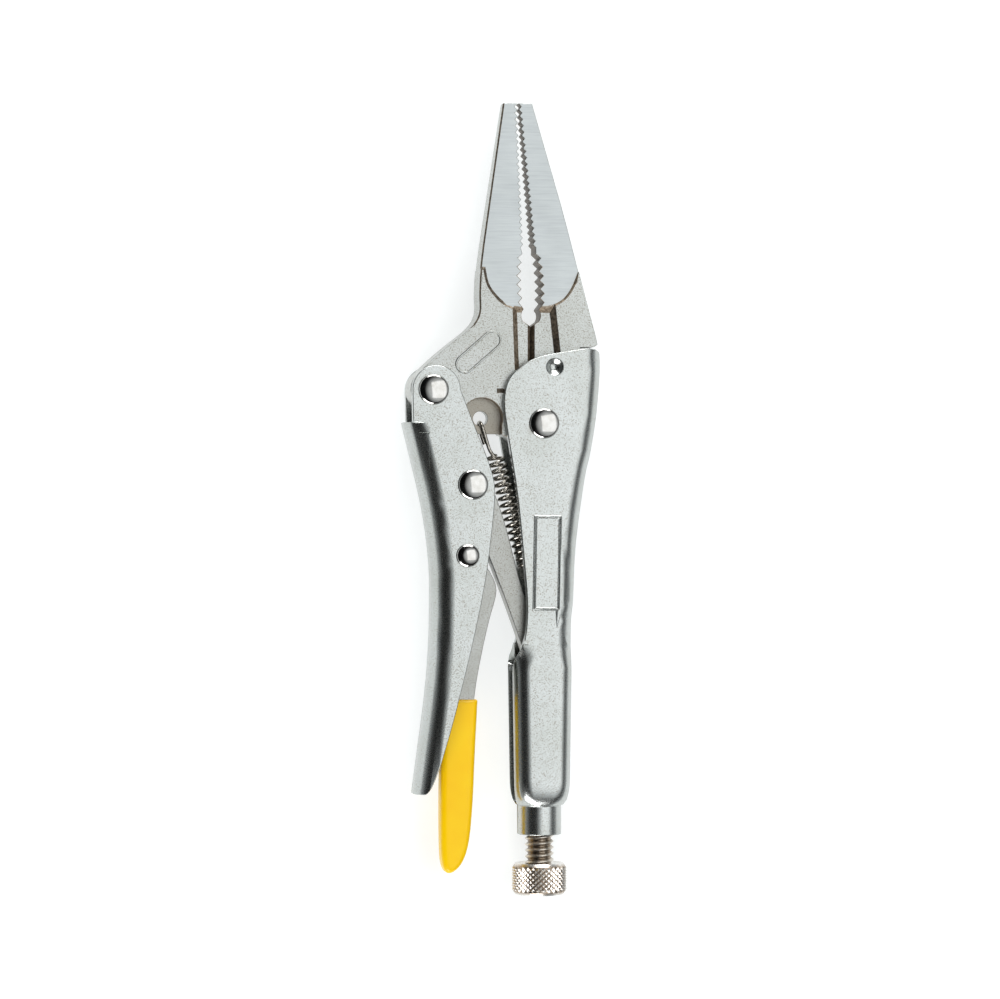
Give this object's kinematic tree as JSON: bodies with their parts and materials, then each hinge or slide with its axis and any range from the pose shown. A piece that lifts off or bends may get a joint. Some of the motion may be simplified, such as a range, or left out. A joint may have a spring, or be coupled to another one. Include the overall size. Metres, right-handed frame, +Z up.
{
  "type": "locking pliers",
  "caption": "Long-nose locking pliers with toothed jaws, a toggle-locked lever handle, a quick-release lever and a knurled adjusting screw.",
  "frame": {"origin": "under the middle of the tool as it lies flat on its rivet heads", "axes": "+Y from the adjusting knob to the jaw tips, +Z up through the rivets, +X from the lever handle to the fixed handle"},
  "size_m": [0.0417, 0.165, 0.0146],
  "materials": {
    "plated_sheet": "satin nickel plating with fine speckle",
    "forged_jaw": "ground cheeks on a blasted, nickel plated forging",
    "plated_link": "satin nickel plated stamping",
    "rivet_chrome": "polished nickel plating",
    "yellow_vinyl": "glossy dipped vinyl",
    "spring_wire": "oiled music wire",
    "screw_nickel": "warm nickel plating over a rolled thread and a diamond knurl"
  },
  "bodies": {
    "handle_frame": {"fixed_handle": "plated_sheet", "fixed_jaw": "forged_jaw", "main_rivet": "rivet_chrome", "return_spring": "spring_wire"},
    "jaw": {"movable_jaw": "forged_jaw"},
    "lever": {"lever_handle": "plated_sheet", "lever_rivet": "rivet_chrome", "link_rivet": "rivet_chrome", "release_rivet": "rivet_chrome"},
    "link": {"toggle_link": "plated_link"},
    "release": {"release_lever": "plated_link", "release_grip": "yellow_vinyl"},
    "screw": {"adjusting_screw": "screw_nickel"},
    "knob": {"adjusting_knob": "screw_nickel"}
  },
  "joints": [
    {"name": "jaw_pivot", "type": "hinge", "parent": "handle_frame", "child": "jaw", "pos_m": [0.00825, 0.01575, 0.0073], "axis": [0, 0, 1], "range_deg": [0, 20], "deforming": ["return_spring"]},
    {"name": "lever_pivot", "type": "hinge", "parent": "jaw", "child": "lever", "pos_m": [-0.01495, 0.02269, 0.0073], "axis": [0, 0, 1], "range_deg": [-57.01, 0]},
    {"name": "link_pivot", "type": "hinge", "parent": "lever", "child": "link", "pos_m": [-0.00671, 0.00302, 0.0073], "axis": [0, 0, 1], "range_deg": [0, 61.01]},
    {"name": "release_pivot", "type": "hinge", "parent": "lever", "child": "release", "pos_m": [-0.00781, -0.01169, 0.0073], "axis": [0, 0, 1], "range_deg": [-2.5, 1.5]},
    {"name": "knob_turn", "type": "hinge", "parent": "screw", "child": "knob", "pos_m": [0.00825, -0.08255, 0.0073], "axis": [0, -1, 0], "range_deg": [0, 2521]},
    {"name": "screw_travel", "type": "slide", "parent": "handle_frame", "child": "screw", "axis": [0, -1, 0], "range_m": [0, 0.00889]}
  ],
  "couplings": [
    {"joint": "lever_pivot", "follows": "jaw_pivot", "ratio": -2.85},
    {"joint": "link_pivot", "follows": "jaw_pivot", "ratio": 3.05},
    {"joint": "knob_turn", "follows": "screw_travel", "rad_per_m": 4947.4}
  ]
}
